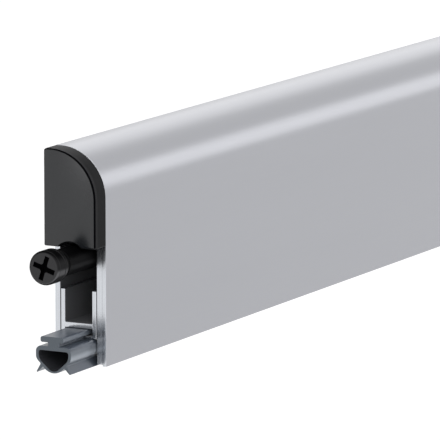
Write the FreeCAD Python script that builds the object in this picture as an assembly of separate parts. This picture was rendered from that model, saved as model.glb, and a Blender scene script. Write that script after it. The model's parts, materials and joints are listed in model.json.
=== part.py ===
"""Automatic drop-down seal for the bottom of a door, surface mounted.

A plunger at the hinge end meets the door frame as the door closes. It pushes a rod
along the housing, two cam sliders on that rod press cross pins down their inclined
slots, and the pins carry a bar with a hollow rubber seal down to the floor. Springs
push the rod back and lift the bar again when the door opens.

X runs along the door from the plunger end, Y points from the room to the door, and
Z is up. Sections are drawn as (y, z), with y the distance out from the door's face
and z the height above the housing's lower edge.
"""
import FreeCAD, Part
import math
import os

V = FreeCAD.Vector

# Housing
length = 335.0
depth = 14.0
height = 53.2
back_wall = 1.35
front_wall = 1.45
cover_wall = 1.0
cover_gap = 0.05
front_wall_lift = 0.4
crown_radius = 12.2
corner_radius = 0.6
web_level = 32.0
web_thickness = 1.4
snap_wall_height = 1.6
snap_gap = 0.1
snap_thickness = 1.0
hook_drop = 3.0

# Holes in the back wall for the screws into the door
fixing_level = 43.0
fixing_setback = 27.5
fixing_radius = 2.25

# End caps
cap_thickness = 5.45
cap_inset = 0.04
cap_level = 29.4
cap_bevel = 0.45
notch_clearance = 0.3
spigot_length = 8.0
spigot_wall = 1.2
spigot_gap = 0.2
spigot_lift = 1.4
spigot_rise = 4.5

# Drop bar, an H in section
bar_gap = 0.2
leg_wall = 1.15
leg_top = 18.2
cross_top = 10.1
cross_thickness = 1.25
hook_level = 6.45
hook_thickness = 0.75
bar_inner_gap = 0.25

# Rubber seal
seal_overhang = 12.5
seal_gap = 0.05
neck_width = 3.0
neck_gap = 0.2
flange_thickness = 1.35
bulb_half_width = 4.85
bulb_shoulder = 1.35
bulb_wall = 0.85
bulb_top_wall = 1.2
seal_floor = 0.0
lip_root_y = 3.1
lip_root_z = 2.0
lip_reach = 1.45
lip_drop = 2.1
lip_thickness = 0.5
flank_swell = 0.45

# Plunger and its adjusting screw
plunger_level = 26.4
plunger_reach = 17.95
knob_radius = 4.2
knob_length = 4.95
knob_bevel = 0.35
recess_length = 5.8
recess_width = 1.15
recess_depth = 1.9
recess_angle = 18.0
recess_taper = 0.33
barrel_radius = 3.4
barrel_length = 40.0
stem_radius = 1.95
thread_engagement = 11.0
retainer_radius = 3.0
retainer_thickness = 1.0
end_float = 0.05
running_gap = 0.05
fit_gap = 0.02

# Guide block for the plunger
block_setback = 18.0
block_length = 10.0
block_gap = 0.1
tongue_lift = 0.4
leg_clearance = 0.4

# Push rod and its parts
rod_radius = 1.5
ferrule_radius = 3.0
ferrule_float = 0.5
ferrule_bottom = 0.5
ferrule_wall = 1.0
socket_depth = 6.0
exposed_rod = 4.95
push_travel = 12.0
drop_travel = 12.0

# Cam sliders, lift guides and brackets
far_pin_from_end = 73.0
pin_radius = 1.0
pin_level = 26.0
pin_end_gap = 0.4
slot_wall = 1.9
slider_thickness = 3.0
slider_boss_length = 8.0
slider_boss_width = 4.8
slider_boss_height = 5.0
slider_top_wall = 2.1
slide_gap = 0.2
bracket_thickness = 0.8
bracket_eye_radius = 2.6
foot_length = 11.0
foot_lift = 0.4
rivet_radius = 1.0
rivet_offset = 8.5
guide_length = 12.0
guide_shoulder = 22.5
tunnel_wall = 1.1
tunnel_gap = 0.3
eye_gap = 1.3

# Return springs
spring_length = 26.0
spring_wire_radius = 0.35
spring_coil_radius = 2.35
spring_turns = 7
coil_steps = 10
wire_sides = 6
stop_length = 8.0
tail_length = 12.0

# Screws that hold the blocks under the web
screw_radius = 1.2
screw_head_radius = 2.3
screw_head_height = 1.4
screw_depth = 1.6

# How far a cutter runs past what it cuts, and how close two sizes count as equal
overrun = 1.0
tolerance = 0.001

# Places that follow from the sizes above
channel_width = depth - cover_wall - cover_gap - front_wall - back_wall
channel_middle = back_wall + channel_width / 2
bar_width = channel_width - 2 * bar_gap
bar_inner_half = bar_width / 2 - leg_wall
hook_top = hook_level + hook_thickness
web_top = web_level + web_thickness
rib_top = web_top + snap_wall_height + snap_gap + snap_thickness
plunger_middle = depth / 2
knob_rear = knob_length - plunger_reach
barrel_start = knob_rear + end_float
barrel_end = barrel_start + barrel_length
retainer_start = barrel_end + end_float
ferrule_start = retainer_start + retainer_thickness + ferrule_float
stem_end = ferrule_start + thread_engagement
rod_start = stem_end + ferrule_bottom + ferrule_wall
ferrule_end = rod_start + socket_depth
block_bottom = leg_top + leg_clearance
block_half = channel_width / 2 - block_gap
tongue_half = bar_inner_half - bar_inner_gap
foot_top = cross_top + bracket_thickness
slot_radius = pin_radius + running_gap
slider_top = pin_level + slot_radius + slider_top_wall
slider_bottom = foot_top + foot_lift
cheek_inner = slider_thickness / 2 + slide_gap
cheek_outer = cheek_inner + bracket_thickness
near_pin_x = ferrule_end + exposed_rod + slider_boss_length + slot_wall + slot_radius + push_travel
far_pin_x = length - far_pin_from_end


def box(x0, x1, y0, y1, z0, z1):
    """A block between the given limits, with y measured out from the door."""
    return Part.makeBox(x1 - x0, y1 - y0, z1 - z0, V(x0, -y1, z0))


def rod(x0, x1, y, z, radius):
    """A round bar along X."""
    return Part.makeCylinder(radius, x1 - x0, V(x0, -y, z), V(1, 0, 0))


def cross_rod(x, y0, y1, z, radius):
    """A round bar from one depth to another."""
    return Part.makeCylinder(radius, y1 - y0, V(x, -y0, z), V(0, -1, 0))


def post(x, y, z0, z1, radius):
    """An upright round bar."""
    return Part.makeCylinder(radius, z1 - z0, V(x, -y, z0), V(0, 0, 1))


def line(start, end, x):
    return Part.LineSegment(V(x, -start[0], start[1]), V(x, -end[0], end[1])).toShape()


def arc(start, middle, end, x):
    points = [V(x, -y, z) for y, z in (start, middle, end)]
    return Part.Arc(*points).toShape()


def polygon(points, x):
    """A flat face across the housing with straight sides."""
    corners = [V(x, -y, z) for y, z in points]
    return Part.Face(Part.makePolygon(corners + corners[:1]))


def on_arc(centre, radius, degrees):
    angle = math.radians(degrees)
    return (centre[0] + radius * math.cos(angle), centre[1] + radius * math.sin(angle))


def crown_face(inset, bottom, x):
    """The housing's outline above a level, drawn in by an inset."""
    back = inset
    front = depth - inset
    top = height - inset
    radius = crown_radius - inset
    corner = (back + corner_radius, top - corner_radius)
    crown = (front - radius, top - radius)
    edges = [
        line((back, bottom), (back, corner[1]), x),
        arc((back, corner[1]), on_arc(corner, corner_radius, 135), (corner[0], top), x),
        line((corner[0], top), (crown[0], top), x),
        arc((crown[0], top), on_arc(crown, radius, 45), (front, crown[1]), x),
        line((front, crown[1]), (front, bottom), x),
        line((front, bottom), (back, bottom), x),
    ]
    return Part.Face(Part.Wire(edges))


def along(face, distance):
    return face.extrude(V(distance, 0, 0))


def fixing_holes():
    """A bore through the back wall near each end."""
    places = (fixing_setback, length - fixing_setback)
    return [cross_rod(x, -overrun, back_wall + overrun, fixing_level, fixing_radius) for x in places]


def base_profile():
    """The extrusion on the door: back wall, web and the channel's front wall."""
    front = back_wall + channel_width
    back = box(0, length, 0, back_wall, 0, height - cover_wall)
    web = box(0, length, back_wall, front, web_level, web_top)
    wall = box(0, length, front, front + front_wall, front_wall_lift, web_top + snap_wall_height)
    shape = back.fuse([web, wall])
    return shape.cut(fixing_holes() + screw_shanks())


def cover_profile():
    """The clip-on front, which turns over the top and hooks behind the back wall."""
    front = back_wall + channel_width
    roof = height - cover_wall
    shell = along(crown_face(0, 0, 0), length)
    shell = shell.cut(along(crown_face(cover_wall, -overrun, 0), length))
    shell = shell.cut(box(0, length, 0, back_wall + snap_gap, -overrun, roof))
    hook_y = back_wall + snap_gap
    hook = box(0, length, hook_y, hook_y + snap_thickness, roof - hook_drop, roof + cover_wall / 2)
    wall_top = web_top + snap_wall_height
    inner = front - snap_gap - snap_thickness
    rib = box(0, length, inner, depth - cover_wall / 2, wall_top + snap_gap, rib_top)
    lip = box(0, length, inner, front - snap_gap, web_top + snap_gap, wall_top + snap_gap)
    return shell.fuse([hook, rib, lip])


def notch():
    """The arch in the cap's lower edge that the plunger's head can enter."""
    radius = knob_radius + notch_clearance
    return rod(-2 * cap_thickness, cap_thickness, plunger_middle, plunger_level, radius)


def bevelled_rim(cap):
    """Bevel the rim of the outer face, but not its lower edge."""
    rim = []
    for edge in cap.Edges:
        on_face = all(abs(v.X + cap_thickness) < tolerance for v in edge.Vertexes)
        middle = edge.valueAt((edge.FirstParameter + edge.LastParameter) / 2)
        if on_face and middle.z > cap_level + tolerance:
            rim.append(edge)
    return cap.makeChamfer(cap_bevel, rim)


def end_cap(notched):
    """A moulded cap with a hollow spigot that plugs into the upper chamber."""
    face = crown_face(cap_inset, cap_level, -cap_thickness)
    cap = bevelled_rim(along(face, cap_thickness))
    if notched:
        cap = cap.cut(notch())
    near_y = back_wall + snap_gap + snap_thickness + spigot_gap
    far_y = depth - cover_wall - spigot_gap - spigot_wall
    low = rib_top + spigot_lift
    top = height - crown_radius + spigot_rise
    outer = box(-cap_bevel, spigot_length, near_y, far_y, low, top)
    inner = box(0, spigot_length + overrun, near_y + spigot_wall, far_y - spigot_wall,
                low + spigot_wall, top - spigot_wall)
    return cap.fuse(outer.cut(inner))


def mirrored(shape):
    return shape.mirror(V(length / 2, 0, 0), V(1, 0, 0))


def drop_bar():
    """The H that carries the seal: two legs, a cross web and hooks below it."""
    half = bar_width / 2
    bar = box(0, length, channel_middle - half, channel_middle + half, hook_level, leg_top)
    upper = box(0, length, channel_middle - bar_inner_half, channel_middle + bar_inner_half,
                cross_top, leg_top + overrun)
    lower = box(0, length, channel_middle - bar_inner_half, channel_middle + bar_inner_half,
                hook_top, cross_top - cross_thickness)
    slot_half = neck_width / 2 + neck_gap
    slot = box(0, length, channel_middle - slot_half, channel_middle + slot_half, 0, hook_top)
    return bar.cut([upper, lower, slot, rivet(near_pin_x, fit_gap), rivet(far_pin_x, fit_gap)])


def mirror_points(points):
    return [(2 * channel_middle - y, z) for y, z in points]


def bulb_face(x):
    """The bulb's outline: flat top, round shoulders, sides that close to a round foot."""
    top = hook_level - seal_gap
    shoulder = (bulb_half_width - bulb_shoulder, top - bulb_shoulder)
    corner = (shoulder[0], top)
    bend = on_arc(shoulder, bulb_shoulder, 45)
    side = (bulb_half_width, shoulder[1])
    flank = ((side[0] + lip_root_y) / 2 + flank_swell, (side[1] + lip_root_z) / 2)
    root = (lip_root_y, lip_root_z)
    right = [(channel_middle + y, z) for y, z in (corner, bend, side, flank, root)]
    left = mirror_points(right)
    edges = [
        line(left[0], right[0], x),
        arc(right[0], right[1], right[2], x),
        arc(right[2], right[3], right[4], x),
        arc(right[4], (channel_middle, seal_floor), left[4], x),
        arc(left[4], left[3], left[2], x),
        arc(left[2], left[1], left[0], x),
    ]
    return Part.Face(Part.Wire(edges))


def lip_face(side, x):
    """One thin wiping lip, from the flank of the bulb down and out."""
    slope = math.atan2(lip_drop, lip_reach)
    across = (lip_thickness * math.sin(slope), lip_thickness * math.cos(slope))
    root = (lip_root_y - across[0] / 2, lip_root_z + bulb_wall / 2)
    tip = (lip_root_y + lip_reach, lip_root_z - lip_drop)
    outline = [root, (root[0] + across[0], root[1] + across[1]),
               (tip[0] + across[0] / 4, tip[1] + across[1] / 2),
               (tip[0] - across[0] / 2, tip[1])]
    return polygon([(channel_middle + side * y, z) for y, z in outline], x)


def rubber_seal():
    """The hollow seal: a T foot in the bar, a bulb below it and two lips."""
    start = -seal_overhang
    span = length + 2 * seal_overhang
    bulb = bulb_face(start)
    hollow = Part.Face(bulb.makeOffset2D(-bulb_wall).OuterWire)
    roof = hook_level - seal_gap - bulb_top_wall
    ceiling = polygon([(0, roof), (depth, roof), (depth, height), (0, height)], start)
    hollow = hollow.cut(ceiling)
    half = tongue_half
    base = hook_top + seal_gap
    top = base + flange_thickness
    neck = neck_width / 2
    foot = polygon([(channel_middle + y, z) for y, z in
                    ((-half, base), (half, base), (half, top), (-half, top))], start)
    stalk = polygon([(channel_middle + y, z) for y, z in
                     ((-neck, hook_level - bulb_top_wall), (neck, hook_level - bulb_top_wall),
                      (neck, base + seal_gap), (-neck, base + seal_gap))], start)
    faces = [foot, stalk, lip_face(-1, start), lip_face(1, start)]
    solid = along(bulb, span).fuse([along(face, span) for face in faces])
    solid = solid.cut(along(hollow, span)).removeSplitter().Solids[0]
    foot_edges = [e for e in solid.Edges if is_foot_edge(e, half, span)]
    return solid.makeFillet(flange_thickness / 3, foot_edges)


def is_foot_edge(edge, half, span):
    """The long edges at the tips of the T foot."""
    ends = edge.Vertexes
    if len(ends) != 2 or abs(edge.Length - span) > tolerance:
        return False
    offset = abs(-ends[0].Y - channel_middle)
    return abs(offset - half) < tolerance and ends[0].Z > hook_top


def guide_block():
    """The nylon block that guides the plunger and steadies the bar's legs."""
    start = block_setback
    end = start + block_length
    body = box(start, end, channel_middle - block_half, channel_middle + block_half,
               block_bottom, web_level)
    tongue = box(start, end, channel_middle - tongue_half, channel_middle + tongue_half,
                 cross_top + tongue_lift, block_bottom)
    bore = rod(0, length, plunger_middle, plunger_level, barrel_radius + running_gap)
    return body.fuse(tongue).cut([bore] + screw_shanks())


def lift_guide(pin_x):
    """The fixed guide round a slider: its upright slots stop the bar from travelling."""
    start = pin_x - guide_length / 2
    end = pin_x + guide_length / 2
    body = box(start, end, channel_middle - block_half, channel_middle + block_half,
               block_bottom, web_level)
    tongue = box(start, end, channel_middle - tongue_half, channel_middle + tongue_half,
                 foot_top + tunnel_gap, block_bottom)
    narrow = cheek_outer + slide_gap
    wide = block_half - tunnel_wall
    low_tunnel = box(0, length, channel_middle - narrow, channel_middle + narrow, 0, guide_shoulder)
    high_tunnel = box(0, length, channel_middle - wide, channel_middle + wide,
                      guide_shoulder, slider_top + tunnel_gap)
    slot_end = cross_rod(pin_x, 0, depth, pin_level, slot_radius)
    slot = box(pin_x - slot_radius, pin_x + slot_radius, 0, depth, 0, pin_level)
    cuts = [low_tunnel, high_tunnel, slot_end, slot] + screw_shanks()
    return body.fuse(tongue).cut(cuts)


def slider_start(pin_x):
    return pin_x - push_travel - slot_radius - slot_wall - slider_boss_length


def slider_end(pin_x):
    return pin_x + bracket_eye_radius + eye_gap + slider_boss_length


def slider_boss(start):
    half_width = slider_boss_width / 2
    half_height = slider_boss_height / 2
    return box(start, start + slider_boss_length,
               plunger_middle - half_width, plunger_middle + half_width,
               plunger_level - half_height, plunger_level + half_height)


def cam_slot(pin_x):
    """The inclined slot: the pin goes from its upper end to its lower end."""
    low_x = pin_x - push_travel
    low_z = pin_level - drop_travel
    y0 = channel_middle - depth / 2
    y1 = channel_middle + depth / 2
    run = math.hypot(push_travel, drop_travel)
    over_x = slot_radius * drop_travel / run
    over_z = slot_radius * push_travel / run
    corners = [(pin_x - over_x, pin_level + over_z), (pin_x + over_x, pin_level - over_z),
               (low_x + over_x, low_z - over_z), (low_x - over_x, low_z + over_z)]
    points = [V(x, -y0, z) for x, z in corners]
    channel = Part.Face(Part.makePolygon(points + points[:1])).extrude(V(0, y0 - y1, 0))
    ends = [cross_rod(pin_x, y0, y1, pin_level, slot_radius),
            cross_rod(low_x, y0, y1, low_z, slot_radius)]
    return channel.fuse(ends)


def cam_slider(pin_x):
    """A nylon slider: a plate with the cam slot between two bosses for the rods."""
    start = slider_start(pin_x)
    end = slider_end(pin_x)
    edge = slot_radius + slot_wall
    boss_low = plunger_level - slider_boss_height / 2
    low_x = pin_x - push_travel
    slope = drop_travel / push_travel
    fall = edge * math.hypot(1, slope)
    under = (pin_x + (boss_low - pin_level + fall) / slope, boss_low)
    heel = (pin_x + (slider_bottom - pin_level + fall) / slope, slider_bottom)
    outline = [(start, slider_top), (end, slider_top), (end, boss_low), under, heel,
               (low_x - edge, slider_bottom), (start, (boss_low + slider_bottom) / 2)]
    side = -(channel_middle - slider_thickness / 2)
    points = [V(x, side, z) for x, z in outline]
    plate = Part.Face(Part.makePolygon(points + points[:1])).extrude(V(0, -slider_thickness, 0))
    body = plate.fuse([slider_boss(start), slider_boss(end - slider_boss_length)])
    socket = rod_radius + fit_gap
    sockets = [rod(start - overrun, start + socket_depth, plunger_middle, plunger_level, socket),
               rod(end - socket_depth, end + overrun, plunger_middle, plunger_level, socket)]
    return body.cut(sockets + [cam_slot(pin_x)])


def lift_bracket(pin_x):
    """A folded steel strap: a riveted foot and two eyes that hold the cross pin."""
    shape = box(pin_x - bracket_eye_radius, pin_x + foot_length, channel_middle - cheek_outer,
                channel_middle + cheek_outer, cross_top, foot_top)
    for side in (-1, 1):
        near = channel_middle + min(side * cheek_inner, side * cheek_outer)
        far = near + bracket_thickness
        strap = box(pin_x - bracket_eye_radius, pin_x + bracket_eye_radius, near, far,
                    cross_top, pin_level)
        eye = cross_rod(pin_x, near, far, pin_level, bracket_eye_radius)
        shape = shape.fuse([strap, eye])
    hole = cross_rod(pin_x, 0, depth, pin_level, pin_radius + fit_gap)
    return shape.cut([hole, rivet(pin_x, fit_gap)])


def rivet(pin_x, gap):
    """The flush rivet through a bracket's foot and the bar, or with a gap its hole."""
    low = cross_top - cross_thickness
    return post(pin_x + rivet_offset, channel_middle, low, foot_top, rivet_radius + gap)


def cam_pin(pin_x):
    half = channel_width / 2 - pin_end_gap
    return cross_rod(pin_x, channel_middle - half, channel_middle + half, pin_level, pin_radius)


def stop_start(pin_x):
    return slider_end(pin_x) + spring_length


def spring_stop(pin_x):
    """The fixed block that the return spring bears on, with a bore for the rod."""
    start = stop_start(pin_x)
    body = box(start, start + stop_length, channel_middle - block_half,
               channel_middle + block_half, block_bottom, web_level)
    bore = rod(0, length, plunger_middle, plunger_level, rod_radius + running_gap)
    return body.cut([bore] + screw_shanks())


def return_spring(pin_x):
    """A coil between a slider and its stop, swept in short straight steps."""
    travel = spring_length - 2 * spring_wire_radius - 2 * end_float
    begin = slider_end(pin_x) + spring_wire_radius + end_float
    steps = spring_turns * coil_steps
    path = []
    for i in range(steps + 1):
        angle = 2 * math.pi * i / coil_steps
        path.append(V(begin + travel * i / steps,
                      spring_coil_radius * math.sin(angle) - plunger_middle,
                      spring_coil_radius * math.cos(angle) + plunger_level))
    return Part.makePolygon(path).makePipeShell([wire_section(path[0], path[1] - path[0])],
                                                True, True, 1)


def wire_section(centre, direction):
    """The outline of the spring's wire, with flat sides, across its direction."""
    across = direction.cross(V(1, 0, 0)).normalize()
    turn = 360.0 / wire_sides
    corners = []
    for i in range(wire_sides):
        spoke = FreeCAD.Rotation(direction, turn * i).multVec(across)
        corners.append(centre + spoke * spring_wire_radius)
    return Part.makePolygon(corners + corners[:1])


def screw_places():
    """One screw over the middle of each block, down through the web."""
    places = [block_setback + block_length / 2]
    for pin_x in (near_pin_x, far_pin_x):
        places.append(pin_x)
        places.append(stop_start(pin_x) + stop_length / 2)
    return places


def screw_shanks(gap=fit_gap):
    return [post(x, channel_middle, web_level - screw_depth, web_top, screw_radius + gap)
            for x in screw_places()]


def block_screws():
    shanks = screw_shanks(0)
    heads = [post(x, channel_middle, web_top, web_top + screw_head_height, screw_head_radius)
             for x in screw_places()]
    return [shank.fuse(head) for shank, head in zip(shanks, heads)]


def cross_recess():
    """The driver's recess: two crossed arms that narrow towards the bottom."""
    mouth = -plunger_reach - overrun
    floor = recess_depth - plunger_reach
    half = recess_length / 2
    deep = half * recess_taper
    side = recess_width / 2
    outline = [V(mouth, -side, half), V(mouth, -side, -half), V(floor, -side, -deep), V(floor, -side, deep)]
    blade = Part.Face(Part.makePolygon(outline + outline[:1])).extrude(V(0, recess_width, 0))
    arms = []
    for turn in (recess_angle, recess_angle + 90):
        arm = blade.copy()
        arm.rotate(V(0, 0, 0), V(1, 0, 0), turn)
        arm.translate(V(0, -plunger_middle, plunger_level))
        arms.append(arm)
    return arms[0].fuse(arms[1])


def adjuster_knob():
    """The plunger's head: a moulded knob with a crossed recess, on the steel stem."""
    head = rod(-plunger_reach, knob_rear, plunger_middle, plunger_level, knob_radius)
    rims = [edge for edge in head.Edges if isinstance(edge.Curve, Part.Circle)]
    head = head.makeChamfer(knob_bevel, rims)
    socket = rod(knob_rear - knob_length / 2, 0, plunger_middle, plunger_level, stem_radius + fit_gap)
    return head.cut([cross_recess(), socket])


def adjuster_stem():
    """The screw that the knob is moulded on; it threads into the ferrule."""
    return rod(knob_rear - knob_length / 2, stem_end, plunger_middle, plunger_level, stem_radius)


def retaining_ring():
    """The ring on the stem that keeps the barrel under the knob."""
    ring = rod(retainer_start, retainer_start + retainer_thickness, plunger_middle,
               plunger_level, retainer_radius)
    return ring.cut(rod(0, length, plunger_middle, plunger_level, stem_radius + fit_gap))


def plunger_barrel():
    """The sleeve that slides in the guide block, with the stem turning inside it."""
    barrel = rod(barrel_start, barrel_end, plunger_middle, plunger_level, barrel_radius)
    bore = rod(barrel_start - overrun, barrel_end + overrun, plunger_middle, plunger_level,
               stem_radius + running_gap)
    return barrel.cut(bore)


def rod_spans():
    """Start and end of each length of rod between its sockets."""
    return {
        "push_rod": (rod_start, slider_start(near_pin_x) + socket_depth - end_float),
        "connecting_rod": (slider_end(near_pin_x) - socket_depth + end_float,
                           slider_start(far_pin_x) + socket_depth - end_float),
        "tail_rod": (slider_end(far_pin_x) - socket_depth + end_float,
                     slider_end(far_pin_x) + spring_length + tail_length),
    }


def ferrule():
    """The brass sleeve on the push rod that the adjusting screw threads into."""
    body = rod(ferrule_start, ferrule_end, plunger_middle, plunger_level, ferrule_radius)
    thread = rod(0, stem_end + ferrule_bottom, plunger_middle, plunger_level,
                 stem_radius + running_gap)
    socket = rod(rod_start - end_float, length, plunger_middle, plunger_level,
                 rod_radius + fit_gap)
    return body.cut([thread, socket])


def save(name, shapes):
    """Move a node to the frame, with its origin midway between the fixing holes, and write it."""
    solids = shapes if isinstance(shapes, list) else [shapes]
    solids = [s.removeSplitter() for s in solids]
    shape = solids[0] if len(solids) == 1 else Part.makeCompound(solids)
    shape.translate(V(-length / 2, 0, -fixing_level))
    shape.exportStep("parts/" + name + ".step")
    print(name, shape.isValid(), len(shape.Solids), round(shape.Volume, 1))


def build_housing():
    save("base_profile", base_profile())
    save("cover_profile", cover_profile())
    save("end_cap_near", end_cap(True))
    save("end_cap_far", mirrored(end_cap(False)))
    save("guide_block", guide_block())
    save("block_screws", block_screws())


def build_plunger():
    save("adjuster_knob", adjuster_knob())
    save("adjuster_stem", adjuster_stem())
    save("retaining_ring", retaining_ring())
    save("plunger_barrel", plunger_barrel())
    save("ferrule", ferrule())
    for name, (start, end) in rod_spans().items():
        save(name, rod(start, end, plunger_middle, plunger_level, rod_radius))


def build_lift(place, pin_x):
    save("cam_slider_" + place, cam_slider(pin_x))
    save("lift_guide_" + place, lift_guide(pin_x))
    save("lift_bracket_" + place, lift_bracket(pin_x))
    save("cam_pin_" + place, cam_pin(pin_x))
    save("spring_stop_" + place, spring_stop(pin_x))
    save("return_spring_" + place, return_spring(pin_x))


def main():
    os.makedirs("parts", exist_ok=True)
    build_housing()
    build_plunger()
    build_lift("near", near_pin_x)
    build_lift("far", far_pin_x)
    save("drop_bar", drop_bar())
    save("rubber_seal", rubber_seal())
    save("bracket_rivets", [rivet(near_pin_x, 0), rivet(far_pin_x, 0)])


main()
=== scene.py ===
"""Dressed model of a surface-mounted automatic door bottom seal.

Sections are drawn as (out, up): out is the distance from the door's face and up the
height above the housing's lower edge. Everything is in metres, in the frame's axes.
"""
import json
import math
import bmesh
import bpy
import numpy as np
from mathutils.geometry import tessellate_polygon
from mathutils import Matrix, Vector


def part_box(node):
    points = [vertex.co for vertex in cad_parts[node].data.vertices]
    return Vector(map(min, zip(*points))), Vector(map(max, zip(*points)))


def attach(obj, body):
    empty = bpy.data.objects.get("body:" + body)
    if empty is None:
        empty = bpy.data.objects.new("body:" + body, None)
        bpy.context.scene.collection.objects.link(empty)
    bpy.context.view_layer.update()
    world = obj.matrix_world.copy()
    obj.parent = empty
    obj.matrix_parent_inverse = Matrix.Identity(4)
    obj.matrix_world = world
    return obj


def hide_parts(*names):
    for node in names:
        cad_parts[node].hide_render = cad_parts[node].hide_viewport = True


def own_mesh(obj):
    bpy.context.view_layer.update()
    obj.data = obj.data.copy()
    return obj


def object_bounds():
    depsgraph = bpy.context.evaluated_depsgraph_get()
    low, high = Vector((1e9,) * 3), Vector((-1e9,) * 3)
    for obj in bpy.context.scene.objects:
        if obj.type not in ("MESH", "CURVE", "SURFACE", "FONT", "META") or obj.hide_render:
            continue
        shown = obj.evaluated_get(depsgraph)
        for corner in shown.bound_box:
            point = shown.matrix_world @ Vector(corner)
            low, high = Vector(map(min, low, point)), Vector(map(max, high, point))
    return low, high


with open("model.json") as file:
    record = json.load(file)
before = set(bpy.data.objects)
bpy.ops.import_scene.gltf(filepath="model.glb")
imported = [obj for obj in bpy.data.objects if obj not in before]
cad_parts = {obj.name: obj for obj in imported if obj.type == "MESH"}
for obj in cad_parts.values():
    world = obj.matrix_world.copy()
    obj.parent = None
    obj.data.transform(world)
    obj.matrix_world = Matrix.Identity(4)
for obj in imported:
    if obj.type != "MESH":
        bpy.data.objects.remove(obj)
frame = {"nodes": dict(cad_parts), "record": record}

solid_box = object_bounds()
mm = 0.001

# Places read from the frame
housing_low, housing_high = np.array(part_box("cover_profile"))
bar_low, bar_high = np.array(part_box("drop_bar"))
seal_low, seal_high = np.array(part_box("rubber_seal"))
knob_low, knob_high = np.array(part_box("adjuster_knob"))
barrel_low, barrel_high = np.array(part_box("plunger_barrel"))
near_cap_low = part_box("end_cap_near")[0]
far_cap_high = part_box("end_cap_far")[1]
door_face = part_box("base_profile")[1][1]
lower_edge = housing_low[2]
depth = door_face - housing_low[1]
height = housing_high[2] - lower_edge
middle_x = (housing_low[0] + housing_high[0]) / 2
half_length = (housing_high[0] - housing_low[0]) / 2
bar_middle = door_face - (bar_low[1] + bar_high[1]) / 2
bar_half = (bar_high[1] - bar_low[1]) / 2
plunger_out = door_face - (knob_low[1] + knob_high[1]) / 2
plunger_up = (knob_low[2] + knob_high[2]) / 2 - lower_edge
plunger_radius = (knob_high[2] - knob_low[2]) / 2

# Sizes of the pieces
crown_radius = 12.2 * mm
back_corner = 0.6 * mm
cover_wall = 1.0 * mm
front_wall = 1.045 * mm
cap_inset = 0.04 * mm
arch_clearance = 0.12 * mm
barrel_radius = 3.4 * mm

# How far the edges are rounded
edge_round = 0.1 * mm
cover_cut_round = 0.05 * mm
seal_cut_round = 0.08 * mm
cap_round = 0.42 * mm
cap_back_round = 0.7 * mm
knob_round = 0.7 * mm
barrel_round = 0.15 * mm
crease_angle = math.radians(35)

# How finely round shapes are drawn, and the flat lead beyond an arc
fewest_arc_steps = 3
arc_fineness = 12
rim_steps = 5
nose_steps = 6
arch_steps = 40
face_rings = 89
knob_steps = 288
barrel_steps = 96
lead = 0.2 * mm


# Surfaces

def section(corners):
    """A closed outline with each corner rounded, and its outward directions.

    corners holds (out, up, radius), clockwise when out points right and up points up.
    Each corner gives an arc that touches both of its sides: its centre lies on the
    corner's bisector, radius / sin(half the corner's angle) away. A point just beyond
    each end of the arc keeps the straight sides flat under smooth shading.
    """
    corners = np.array(corners)
    places, radii = corners[:, :2], corners[:, 2]
    before = np.roll(places, 1, axis=0) - places
    after = np.roll(places, -1, axis=0) - places
    before /= np.linalg.norm(before, axis=1)[:, None]
    after /= np.linalg.norm(after, axis=1)[:, None]
    bisector = before + after
    bisector /= np.linalg.norm(bisector, axis=1)[:, None]
    half_angle = np.arccos(np.clip((before * after).sum(axis=1), -1, 1)) / 2
    turn = before[:, 0] * after[:, 1] - before[:, 1] * after[:, 0]
    outline, outward = [], []
    for place, radius, middle, half, side, back, on in zip(
            places, radii, bisector, half_angle, turn, before, after):
        centre = place + middle * radius / math.sin(half)
        swing = math.pi / 2 - half
        steps = fewest_arc_steps + int(swing * math.sqrt(radius / mm) * arc_fineness)
        aim = math.atan2(-middle[1], -middle[0])
        sense = 1 if side > 0 else -1
        angles = aim - sense * np.linspace(-swing, swing, steps)
        spokes = np.column_stack([np.cos(angles), np.sin(angles)])
        reach = radius / math.tan(half) + min(0.1 * radius, lead)
        outline.append(np.vstack([place + reach * back, centre + radius * spokes, place + reach * on]))
        outward.append(sense * np.vstack([spokes[:1], spokes, spokes[-1:]]))
    return np.concatenate(outline), np.concatenate(outward)


def mirrored(corners):
    """The corners on the other side of the middle, in the order that goes on round."""
    return [(-out, *rest) for out, *rest in reversed(corners)]


def place_points(along, out, up):
    """Points of the frame from distances along the housing, out from the door, and up."""
    along, out, up = np.broadcast_arrays(along, out, up)
    return np.stack([along, door_face - out, lower_edge + up], axis=-1)


def piece(name, points, faces, material, body, nodes):
    """A closed mesh facing outwards, smooth except at its edges, riding on a body."""
    mesh = bpy.data.meshes.new(name)
    mesh.from_pydata(points.reshape(-1, 3).tolist(), [], faces)
    work = bmesh.new()
    work.from_mesh(mesh)
    bmesh.ops.recalc_face_normals(work, faces=work.faces)
    work.to_mesh(mesh)
    work.free()
    mesh.shade_smooth()
    mesh.set_sharp_from_angle(angle=crease_angle)
    mesh.materials.append(material)
    made = bpy.data.objects.new(name, mesh)
    bpy.context.collection.objects.link(made)
    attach(made, body)
    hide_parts(*nodes)
    return made


def grid_faces(rows, columns, first):
    """Quads between the rows of a grid that closes on itself across its columns."""
    row, column = np.meshgrid(np.arange(rows - 1), np.arange(columns), indexing="ij")
    right = (column + 1) % columns
    quads = np.stack([row * columns + column, row * columns + right,
                      (row + 1) * columns + right, (row + 1) * columns + column], axis=-1)
    return (quads.reshape(-1, 4) + first).tolist()


def quarter_circle(radius, steps):
    """Stations of a rounded edge: how far along from the end, and how far inside the outline."""
    turn = np.linspace(0, math.pi / 2, steps)
    return radius * np.column_stack([1 - np.cos(turn), 1 - np.sin(turn)])


def round_rim(radius):
    """A rounded edge for the end of an extrusion, with a flat lead behind it."""
    return np.vstack([quarter_circle(radius, rim_steps), [radius + lead, 0]])[:, None]


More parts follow.
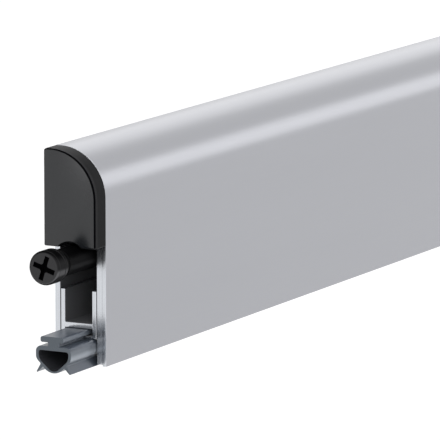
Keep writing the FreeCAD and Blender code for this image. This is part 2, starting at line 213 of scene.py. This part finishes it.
def extrusion(name, loops, start, end, start_rim, end_rim, material, body, nodes):
    """A section carried along the housing, with a shaped rim at each end.

    Each station is the section moved inwards by the rim's inset, at the rim's distance
    from the end. loops holds the outer outline first and then any hollow ones; the end
    faces join them.
    """
    rows = len(start_rim) + len(end_rim)
    points, faces, rims = [], [], ([], [])
    first = 0
    for outline, outward in loops:
        columns = len(outline)
        near, far = (np.broadcast_to(rim, (len(rim), columns, 2)) for rim in (start_rim, end_rim[::-1]))
        along = np.concatenate([start + near[..., 0], end - far[..., 0]])
        inset = np.concatenate([near[..., 1], far[..., 1]])
        shape = outline - outward * inset[..., None]
        points.append(place_points(along, shape[..., 0], shape[..., 1]).reshape(-1, 3))
        faces += grid_faces(rows, columns, first)
        rims[0].append((first, shape[0]))
        rims[1].append((first + (rows - 1) * columns, shape[-1]))
        first += rows * columns
    for rim in rims:
        index = np.concatenate([begin + np.arange(len(shape)) for begin, shape in rim])
        flat = [np.pad(shape / mm, ((0, 0), (0, 1))).tolist() for _, shape in rim]
        faces += index[np.array(tessellate_polygon(flat))].tolist()
    return piece(name, np.concatenate(points), faces, material, body, nodes)


def turned(name, line, steps, press, material, body, nodes):
    """A line of (along, radius) spun about the plunger's axis, closed at both ends.

    A point of the line is carried round the circle out = radius * sin t, up = radius * cos t.
    press, if given, says how far the points of the first face are sunk along the axis.
    """
    along, radius = np.array(line).T
    angle = np.linspace(0, 2 * math.pi, steps, endpoint=False)
    out = radius[:, None] * np.sin(angle)
    up = radius[:, None] * np.cos(angle)
    sunk = press(out, up) * (along == along[0])[:, None] if press else 0
    points = place_points(along[:, None] + sunk, plunger_out + out, plunger_up + up)
    faces = grid_faces(len(line), steps, 0)
    last = (len(line) - 1) * steps
    faces += [list(range(steps)), list(range(last, last + steps))]
    return piece(name, points, faces, material, body, nodes)


# Materials

class Value:
    """An output socket of a node, so that sums of such values are written as expressions."""

    def __init__(self, nodes, socket):
        self.nodes = nodes
        self.socket = socket

    def combine(self, operation, first, second):
        return self.nodes.node("ShaderNodeMath", {"operation": operation}, {0: first, 1: second})

    def __add__(self, other):
        return self.combine("ADD", self, other)

    def __sub__(self, other):
        return self.combine("SUBTRACT", self, other)

    def __rsub__(self, other):
        return self.combine("SUBTRACT", other, self)

    def __mul__(self, other):
        return self.combine("MULTIPLY", self, other)

    def __gt__(self, other):
        return self.combine("GREATER_THAN", self, other)

    def __lt__(self, other):
        return self.combine("LESS_THAN", self, other)

    __radd__ = __add__
    __rmul__ = __mul__


class Nodes:
    """A node tree under construction: every node comes from the method node."""

    def __init__(self, tree):
        self.tree = tree
        self.tree.nodes.clear()

    def node(self, kind, settings, sockets, result=0):
        """Adds a node, sets it up, fills its sockets with values or links, and gives an output."""
        made = self.tree.nodes.new(kind)
        for name, value in settings.items():
            setattr(made, name, value)
        for name, value in sockets.items():
            self.feed(made.inputs[name], value)
        return Value(self, made.outputs[result]) if made.outputs else None

    def feed(self, socket, value):
        if isinstance(value, Value):
            self.tree.links.new(value.socket, socket)
        else:
            socket.default_value = value

    def blend(self, share, first, second):
        """A colour between two, by share."""
        return self.node("ShaderNodeMix", {"data_type": "RGBA"}, {0: share, 6: first, 7: second}, 2)

    def seen_as(self, shown, plain):
        """The colour shown to what looks at a surface or mirrors it, and plain otherwise."""
        looked_at = self.node("ShaderNodeLightPath", {}, {}, "Is Camera Ray")
        mirrored_in = self.node("ShaderNodeLightPath", {}, {}, "Is Glossy Ray")
        return self.blend(looked_at + mirrored_in, plain, shown)


class Finish(Nodes):
    """A material under construction."""

    def __init__(self, name):
        self.material = bpy.data.materials.new(name)
        self.material.use_nodes = True
        super().__init__(self.material.node_tree)
        surface = self.node("ShaderNodeBsdfPrincipled", {}, {})
        self.shader = surface.socket.node
        self.node("ShaderNodeOutputMaterial", {}, {"Surface": surface})

    def set(self, **sockets):
        for name, value in sockets.items():
            self.feed(self.shader.inputs[name.replace("_", " ")], value)
        return self.material

    def place(self):
        return self.node("ShaderNodeTexCoord", {}, {}, "Object")

    def normal(self):
        return self.node("ShaderNodeNewGeometry", {}, {}, "Normal")

    def axis(self, vector, name):
        return self.node("ShaderNodeSeparateXYZ", {}, {0: vector}, name)

    def size(self, value):
        return self.node("ShaderNodeMath", {"operation": "ABSOLUTE"}, {0: value})

    def facing(self):
        """How squarely the surface faces along the housing, from 0 to 1."""
        return self.size(self.axis(self.normal(), "X"))

    def cut(self):
        """1 on faces cut square across the housing, 0 elsewhere."""
        return self.facing() > 0.8

    def step(self, value, low, high):
        """A smooth rise from 0 at low to 1 at high."""
        return self.node("ShaderNodeMapRange", {"interpolation_type": "SMOOTHSTEP"},
                         {"Value": value, "From Min": low, "From Max": high})

    def grain(self, scale, stretch=(1.0, 1.0, 1.0), detail=3.0):
        """Noise on the object's own coordinates, drawn out along the axes of low stretch."""
        place = self.node("ShaderNodeMapping", {}, {"Vector": self.place(), "Scale": stretch})
        return self.node("ShaderNodeTexNoise", {}, {"Vector": place, "Scale": scale, "Detail": detail})

    def bump(self, level, distance, strength):
        return self.node("ShaderNodeBump", {},
                         {"Height": level, "Distance": distance, "Strength": strength})


def colour(red, green, blue):
    """A colour of 0 to 255 per channel, as the shader's linear values."""
    shares = np.array([red, green, blue]) / 255
    linear = np.where(shares < 0.04045, shares / 12.92, ((shares + 0.055) / 1.055) ** 2.4)
    return (*linear.tolist(), 1.0)


def shades(middle, spread):
    """A darker and a lighter colour round a middle one."""
    return colour(*(c - spread for c in middle)), colour(*(c + spread for c in middle))


def anodised(name, face, sawn, channel):
    """Satin anodised aluminium: fine lines along the bar, saw marks on its cut ends.

    channel holds the lowest and highest out and the lowest and highest up of the inner
    space, whose walls are left matt and painted a darker grey than the outer faces, as painted shade.
    """
    finish = Finish(name)
    cut = finish.cut()
    lines = finish.grain(2600, (0.02, 1.0, 1.0))
    marks = finish.grain(1500, (1.0, 1.0, 0.05))
    patches = finish.grain(60, (0.15, 1.0, 1.0), detail=2.0)
    drawn_face = finish.blend(lines * 0.5 + patches * 0.5, *shades(face, 3))
    sawn_face = finish.blend(marks, *shades(sawn, 10))
    outside = finish.blend(cut, drawn_face, sawn_face)
    low_out, high_out, low_up, high_up = channel
    place = finish.place()
    y = finish.axis(place, "Y")
    z = finish.axis(place, "Z")
    # Painted shade: the channel's inner walls get a darker matt grey that stands for the shade inside.
    inside = ((y < door_face - low_out) * (y > door_face - high_out)
              * (z > lower_edge + low_up) * (z < lower_edge + high_up) * (1 - cut))
    base = finish.blend(inside, outside, colour(98, 99, 102))
    relief = finish.node("ShaderNodeMix", {}, {0: cut, 2: lines, 3: marks})
    return finish.set(Base_Color=base, Metallic=1 - inside,
                      Roughness=0.28 + lines * 0.06 - cut * 0.08,
                      Normal=finish.bump(relief, 0.03 * mm, 0.12))


def moulded(name, face, side, roughness, grain_scale, pit=None, painted_sheen=None, mirror=False):
    """Moulded plastic: a finely etched end face, painted paler than the smooth sides, partly finish and
    partly painted light.

    The sides get a painted highlight where they lean in towards the face. pit is the (x, y, z)
    of a recess's mouth, its radius and its depth; the plastic is painted black there as shade.
    A painted sheen is for round sides, painted dark above: its two shares say how pale they are
    painted in front and in a band below that. With mirror, the end face is nearly black under a
    gloss that shows the white room and the plunger.
    """
    finish = Finish(name)
    facing = finish.facing()
    # Painted highlight: the sides are painted paler where they lean in towards the face.
    painted_lean_light = finish.step(facing, 0.01, 0.05) - finish.step(facing, 0.2, 0.4)
    flat = finish.step(facing, 0.9, 1.0)
    grain = finish.grain(grain_scale)
    cloud = finish.grain(180)
    smooth = finish.blend(cloud, *shades(side, 3))
    # Painted sheen and shade on round sides: dark above, paler in front, palest in a band below.
    if painted_sheen:
        middle, low = painted_sheen
        up = finish.axis(finish.normal(), "Z")
        front = 1 - finish.step(up, 0.25, 0.75)
        band = finish.step(up, -0.5, -0.3) - finish.step(up, -0.2, 0.02)
        smooth = finish.blend(middle * front + low * band, colour(6, 6, 7), colour(96, 96, 98))
    # The face is painted paler than the sides, partly for its etched finish and partly as painted light
    # and shade.
    etched = finish.blend(grain, *shades(face, 5))
    base = finish.blend(flat + 0.4 * painted_lean_light, smooth, etched)
    if mirror:
        base = finish.blend(flat, base, colour(12, 15, 19))
    # Painted shade: inside the recess the plastic is painted black.
    if pit:
        *mouth, radius, pit_depth = pit
        place = finish.place()
        x, y, z = (finish.axis(place, way) - middle for way, middle in zip("XYZ", mouth))
        inside = (x > 0) * (x < pit_depth) * (y * y + z * z < radius ** 2)
        base = finish.blend(inside, base, colour(5, 5, 6))
    return finish.set(Base_Color=base, Roughness=roughness + 0.12 * (grain - 0.5),
                      Normal=finish.bump(grain, 0.02 * mm, 0.4),
                      Specular_IOR_Level=0.01 if painted_sheen else 0.05,
                      Coat_Weight=flat if mirror else 0.0, Coat_Roughness=0.22, Coat_IOR=1.55)


def plated(name, shade, roughness):
    """Turned or pressed metal with fine marks round it."""
    finish = Finish(name)
    marks = finish.grain(3000, (1.0, 0.3, 0.3))
    base = finish.blend(marks, *shades(shade, 8))
    return finish.set(Base_Color=base, Metallic=1.0, Roughness=roughness + 0.1 * (marks - 0.5))


def extruded_rubber(name, side, cut_end):
    """Satin rubber with faint lines along it and a fine grain on its cut ends.

    The sides get a painted sheen where they don't face up, and a painted highlight in a band
    along each flank. They get painted shade in the housing and a little past its end, and in the
    hollow. A point is in the hollow where its distance from the middle is less than its height
    above the hollow's lowest line, between two levels.
    """
    hollow_low, hollow_high, hollow_half = 0.25 * mm, 5.7 * mm, 4.4 * mm
    hollow_line = -0.92 * mm
    fade_length = 5.5 * mm
    finish = Finish(name)
    cut = finish.cut()
    lines = finish.grain(900, (0.05, 1.0, 1.0))
    grain = finish.grain(5000)
    up = finish.axis(finish.normal(), "Z")
    place = finish.place()
    aside = finish.size(finish.axis(place, "Y") - (door_face - bar_middle))
    high = finish.axis(place, "Z") - lower_edge
    beyond = finish.size(finish.axis(place, "X") - middle_x) - half_length
    # Painted sheen where the sides don't face up, and a painted highlight band along each flank.
    front = 1 - finish.step(up, 0.0, 0.6)
    flank = finish.step(high, 2.5 * mm, 3.5 * mm) - finish.step(high, 3.6 * mm, 4.9 * mm)
    # Painted shade in the housing and a little past its end, and in the hollow.
    painted_housing_shade = 1 - finish.step(beyond, 0.0, fade_length)
    hollow = ((aside < high - hollow_line) * (aside < hollow_half)
              * (high > hollow_low) * (high < hollow_high))
    sides = finish.blend(lines, *shades(side, 6))
    sides = finish.blend(0.24 * front, sides, colour(185, 193, 202))
    sides = finish.blend(0.6 * flank, sides, colour(198, 206, 216))
    sides = finish.blend(0.5 * painted_housing_shade, sides, colour(30, 34, 40))
    sides = finish.blend(hollow, sides, colour(58, 59, 63))
    base = finish.blend(cut, sides, finish.blend(grain, *shades(cut_end, 6)))
    return finish.set(Base_Color=base, Roughness=0.34 + 0.1 * (lines - 0.5),
                      Normal=finish.bump(grain * 0.5 + lines * 0.5, 0.03 * mm, 0.3),
                      Specular_IOR_Level=0.4)


satin, sawn = (168, 169, 174), (203, 206, 211)
base_channel = (1.3 * mm, 12.0 * mm, 0.5 * mm, 32.5 * mm)
bar_inner = bar_half - 1.1 * mm
bar_channel = (bar_middle - bar_inner, bar_middle + bar_inner, 7.0 * mm, 19.0 * mm)
# Mouth, radius and depth of the knob's recess, where its plastic is painted black as shade.
pit_mouth = (knob_low[0] + 0.1 * mm, door_face - plunger_out, lower_edge + plunger_up)
knob_pit = (*pit_mouth, 3.2 * mm, 3.0 * mm)
aluminium = anodised("anodised_aluminium", satin, sawn, base_channel)
bar_aluminium = anodised("bar_aluminium", satin, sawn, bar_channel)
cap_plastic = moulded("cap_plastic", face=(65, 65, 67), side=(23, 23, 25),
                      roughness=0.45, grain_scale=6000, mirror=True)
# The knob and the barrel get a painted sheen and shade on their round sides.
knob_plastic = moulded("knob_plastic", face=(60, 60, 61), side=(32, 32, 33),
                       roughness=0.42, grain_scale=6000, pit=knob_pit, painted_sheen=(0.17, 0.9))
barrel_plastic = moulded("barrel_plastic", face=(30, 30, 31), side=(9, 9, 10),
                         roughness=0.4, grain_scale=6000, painted_sheen=(0.06, 0.12))
nylon = moulded("black_nylon", face=(49, 49, 51), side=(30, 30, 32), roughness=0.5, grain_scale=3000)
steel = plated("zinc_plated_steel", shade=(186, 188, 190), roughness=0.32)
brass = plated("turned_brass", shade=(190, 158, 96), roughness=0.28)
rubber = extruded_rubber("seal_rubber", side=(80, 88, 100), cut_end=(80, 87, 94))
slots = {"aluminium": aluminium, "cap_plastic": cap_plastic, "knob_plastic": knob_plastic,
         "nylon": nylon, "steel": steel, "brass": brass, "rubber": rubber}

for part in frame["record"]["subparts"]:
    node = frame["nodes"][part["node"]]
    node.data.materials.clear()
    node.data.materials.append(slots[part["material_slot"]])


# Cover

def cover_section():
    """The cover's outline: round front shoulder, snap hook at the back and rib inside."""
    rim = edge_round
    sharp = 0.02 * mm
    roof = height - cover_wall
    front = depth - front_wall
    hook_out, hook_low = 1.45 * mm, roof - 3.0 * mm
    rib_out, rib_up = 10.4 * mm, 35.1 * mm
    rib_low = rib_up - 1.6 * mm
    return section([
        (0, roof, rim), (0, height, back_corner), (depth, height, crown_radius),
        (depth, 0, rim), (front, 0, sharp), (front, rib_up, rim),
        (rib_out + cover_wall, rib_up, rim), (rib_out + cover_wall, rib_low, rim),
        (rib_out, rib_low, rim), (rib_out, rib_up + cover_wall, rim),
        (front, rib_up + cover_wall, rim), (front, roof, crown_radius - cover_wall),
        (hook_out + cover_wall, roof, rim), (hook_out + cover_wall, hook_low, rim),
        (hook_out, hook_low, rim), (hook_out, roof, rim)])


cover = extrusion("cover", [cover_section()], housing_low[0], housing_high[0],
                  round_rim(cover_cut_round), round_rim(cover_cut_round),
                  aluminium, "housing", ["cover_profile"])


# End caps

def cap_section(notched):
    """The cap's outline, a little inside the housing's, with the plunger's arch below."""
    foot = near_cap_low[2] - lower_edge
    top = height - cap_inset
    front = depth - cap_inset
    outline, outward = section([(0, foot, cap_round), (0, top, cap_back_round),
                                (front, top, crown_radius - cap_inset), (front, foot, cap_round)])
    if not notched:
        return outline, outward
    arch_radius = plunger_radius + arch_clearance
    reach = math.asin((foot - plunger_up) / arch_radius)
    angles = np.linspace(reach, math.pi - reach, arch_steps)
    spokes = np.column_stack([np.cos(angles), np.sin(angles)])
    arch = np.array([plunger_out, plunger_up]) + arch_radius * spokes
    return np.concatenate([outline, arch]), np.concatenate([outward, -spokes])


def cap_rim(outward):
    """Stations of the cap's outer edge, written as (along, inset) in millimetres.

    On the crown and the front, the face ends in a fine groove and the side leans in a
    little beyond it; on the back and below, the edge is a plain quarter circle. The two
    have as many stations, and are mixed by how far the outline faces up and out.
    """
    grooved = np.array([(0, 0.33), (0.02, 0.29), (1.2, 0.75), (1.2, 0.08), (0.6, 0.07),
                        (0.55, 0.055), (0.6, 0.045), (0.9, 0.03), (1.3, 0.01), (1.8, 0), (2.2, 0)])
    face = [(0, 0.4), (0, 0.39), (0, 0.38), (0, 0.37)]
    plain = np.concatenate([face, quarter_circle(0.35, nose_steps), [(0.55, 0)]])
    share = np.clip(outward.sum(axis=1), 0, 1)[None, :, None]
    return mm * (share * grooved[:, None] + (1 - share) * plain[:, None])


flat_rim = np.zeros((1, 1, 2))
near_outline, near_outward = cap_section(notched=True)
far_outline, far_outward = cap_section(notched=False)
near_cap = extrusion("near_cap", [(near_outline, near_outward)], near_cap_low[0], housing_low[0],
                     cap_rim(near_outward), flat_rim, cap_plastic, "housing", ["end_cap_near"])
far_cap = extrusion("far_cap", [(far_outline, far_outward)], housing_high[0], far_cap_high[0],
                    flat_rim, cap_rim(far_outward), cap_plastic, "housing", ["end_cap_far"])


# Plunger

def smooth_edge(within, width):
    """A rise from 0 to 1: 3 t squared - 2 t cubed, where t goes from 0 to 1 across the edge."""
    share = np.clip(within / width + 0.5, 0, 1)
    return share * share * (3 - 2 * share)


def cross_recess(out, up):
    """Depth of the driver's recess at a point of the knob's face, from its middle.

    Each arm is a smooth edge across its sides times one across its ends, and gets
    shallower towards the ends. A round well joins the arms. The deeper of them counts,
    times the recess's full depth.
    """
    turn = math.radians(-18.0)
    arm_length, arm_half_width, well_radius = 2.95 * mm, 0.56 * mm, 1.05 * mm
    edge, full_depth, taper = 0.13 * mm, 1.9 * mm, 0.4
    first = np.abs(out * math.cos(turn) + up * math.sin(turn))
    second = np.abs(up * math.cos(turn) - out * math.sin(turn))
    share = smooth_edge(well_radius - np.hypot(out, up), edge)
    for along_arm, across_arm in ((first, second), (second, first)):
        arm = smooth_edge(arm_half_width - across_arm, edge) * smooth_edge(arm_length - along_arm, edge)
        share = np.maximum(share, arm * (1 - taper * along_arm / arm_length))
    return full_depth * share


def bar_ends(low, high, radius, rim):
    """Lines of (along, radius) down the first and the last rim of a bar, as quarter circles."""
    nose = np.vstack([quarter_circle(rim, nose_steps), [rim + lead, 0]]) * [1, -1] + [0, radius]
    return nose + [low, 0], nose[::-1] * [-1, 1] + [high, 0]


def groove(start, radius, width, slant, sink):
    """A line of (along, radius) across a groove whose sides lean by the slant."""
    along = start + np.array([0, slant, width - slant, width])
    return np.column_stack([along, radius - sink * np.array([0, 1, 1, 0])])


face_radii = np.linspace(0.02 * mm, plunger_radius - knob_round, face_rings, endpoint=False)
knob_face = np.column_stack([np.full_like(face_radii, knob_low[0]), face_radii])
knob_nose, knob_tail = bar_ends(knob_low[0], knob_high[0], plunger_radius, knob_round)
knob_ring = groove(knob_low[0] + 3.2 * mm, plunger_radius, width=0.35 * mm, slant=0.05 * mm,
                   sink=0.2 * mm)
knob_line = np.concatenate([knob_face, knob_nose, knob_ring, knob_tail])
knob = turned("knob", knob_line, knob_steps, cross_recess, knob_plastic, "adjuster", ["adjuster_knob"])

barrel_nose, barrel_tail = bar_ends(barrel_low[0], barrel_high[0], barrel_radius, barrel_round)
barrel_neck = groove(barrel_low[0] + 1.4 * mm, barrel_radius, width=0.62 * mm, slant=0.02 * mm,
                     sink=0.5 * mm)
barrel_line = np.concatenate([barrel_nose, barrel_neck, barrel_tail])
barrel = turned("barrel", barrel_line, barrel_steps, None, barrel_plastic, "barrel", ["plunger_barrel"])


# Return springs

joints = {joint["name"]: joint for joint in frame["record"]["behaviour"]["joints"]}
full_push = joints["plunger_push"]["range_m"][1]
for place in ("near", "far"):
    spring_low, spring_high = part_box("return_spring_" + place)
    keep = 1 - full_push / (spring_high[0] - spring_low[0])
    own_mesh(frame["nodes"]["return_spring_" + place])


# Drop bar and its rubber

def bar_section():
    """The H of the drop bar, with the hooks that hold the seal's foot."""
    rim = 0.12 * mm
    low = bar_low[2] - lower_edge
    top = bar_high[2] - lower_edge
    inner = bar_half - 1.15 * mm
    slot_half = 1.7 * mm
    hook_top = low + 0.75 * mm
    web_top = 10.1 * mm
    web_low = web_top - 1.25 * mm
    right = [(bar_half, top), (bar_half, low), (slot_half, low), (slot_half, hook_top),
             (inner, hook_top), (inner, web_low)]
    trough = [(-inner, top), (-inner, web_top), (inner, web_top), (inner, top)]
    return section([(bar_middle + out, up, rim) for out, up in right + mirrored(right) + trough])


def about_bar(corners):
    """A section whose corners are in millimetres, with out measured from the bar's middle."""
    return section([(bar_middle + out * mm, up * mm, radius * mm) for out, up, radius in corners])


def seal_section():
    """The seal's outline: a T foot, a neck, the bulb's round shoulders and two thin lips.

    The foot sits towards the door in its slot.
    """
    foot_top, foot_low, neck_half, bulb_top = 8.75, 7.35, 1.5, 6.4
    foot_front = [(2.75, foot_top, 0.4), (2.75, foot_low, 0.4), (neck_half, foot_low, 0.1)]
    foot_back = [(-neck_half, foot_low, 0.1), (-3.55, foot_low, 0.5), (-3.55, foot_top, 0.5)]
    flank = [(neck_half, bulb_top, 0.15), (4.85, bulb_top, 1.35), (4.83, 3.3, 1.6)]
    lip = [(3.55, 2.05, 0.3), (4.72, -0.02, 0.12), (4.4, -0.1, 0.12), (2.9, 1.38, 0.25)]
    bottom = [(0, -1.52, 3.45)]
    return about_bar(foot_front + flank + lip + bottom + mirrored(flank + lip) + foot_back)


def seal_hollow():
    """The air space inside the bulb: like the bulb's outline, with rounder flanks."""
    flank = [(4.05, 5.35, 0.6), (4.05, 3.25, 2.3)]
    bottom = [(0, -0.32, 2.05)]
    outline, outward = about_bar(flank + bottom + mirrored(flank))
    return outline, -outward


drop_bar = extrusion("drop_bar_h", [bar_section()], bar_low[0], bar_high[0],
                     round_rim(edge_round), round_rim(edge_round),
                     bar_aluminium, "drop", ["drop_bar"])
seal = extrusion("bulb_seal", [seal_section(), seal_hollow()], seal_low[0], seal_high[0],
                 round_rim(seal_cut_round), round_rim(seal_cut_round),
                 rubber, "drop", ["rubber_seal"])


# Stage, light and camera

def grey(level):
    """A linear grey of 0 to 1."""
    return (level, level, level, 1)


def studio():
    """A grey room that shows white behind the part and in what mirrors it."""
    world = bpy.data.worlds.new("studio")
    world.use_nodes = True
    nodes = Nodes(world.node_tree)
    light = nodes.seen_as(grey(1.0), plain=grey(0.5))
    background = nodes.node("ShaderNodeBackground", {}, {"Color": light})
    nodes.node("ShaderNodeOutputWorld", {}, {"Surface": background})
    bpy.context.scene.world = world


def floor():
    """A pale floor well below the part, lifted to white where it is looked at or mirrored."""
    half_side = 8.0
    level = solid_box[0][2] - 0.3
    corners = [(x * half_side, y * half_side, level) for x, y in ((-1, -1), (1, -1), (1, 1), (-1, 1))]
    mesh = bpy.data.meshes.new("floor")
    mesh.from_pydata(corners, [], [(0, 1, 2, 3)])
    made = bpy.data.objects.new("floor", mesh)
    bpy.context.collection.objects.link(made)
    finish = Finish("pale_floor")
    glow = finish.seen_as(grey(0.42), plain=grey(0))
    mesh.materials.append(finish.set(Base_Color=grey(0.8), Roughness=0.9, Emission_Color=glow,
                                     Emission_Strength=1.0))


def sun(name, direction, spread, strength):
    """A lamp so far away that its light comes from one direction, blurred by its spread."""
    lamp = bpy.data.lights.new(name, "SUN")
    lamp.energy = strength
    lamp.angle = math.radians(spread)
    made = bpy.data.objects.new(name, lamp)
    bpy.context.collection.objects.link(made)
    x, y, z = direction
    made.rotation_euler = (math.atan2(math.hypot(x, y), z), 0, math.atan2(y, x) + math.pi / 2)


def camera():
    """The photograph's view: from beyond the near end, in front and a little above."""
    heading, tilt = math.radians(62.303), math.radians(9.812)
    distance = 1.3210
    aim = np.array([housing_low[0] + 23.33 * mm, door_face - 32.66 * mm, lower_edge + 33.84 * mm])
    back = np.array([-math.sin(heading) * math.cos(tilt), -math.cos(heading) * math.cos(tilt),
                     math.sin(tilt)])
    lens = bpy.data.cameras.new("camera")
    lens.lens = 446.72
    lens.sensor_width = 36
    lens.clip_end = 50
    made = bpy.data.objects.new("camera", lens)
    bpy.context.collection.objects.link(made)
    made.location = aim + distance * back
    made.rotation_euler = (math.pi / 2 - tilt, 0, -heading)
    bpy.context.scene.camera = made


studio()
floor()
sun("upper_band", direction=(0.868, 0.285, 0.392), spread=26, strength=0.095)
sun("lower_band", direction=(0.868, -0.45, 0.205), spread=18, strength=0.085)
sun("soft_key", direction=(-0.85, -0.22, 0.5), spread=60, strength=1.6)
camera()

bpy.context.scene.view_settings.view_transform = "Standard"
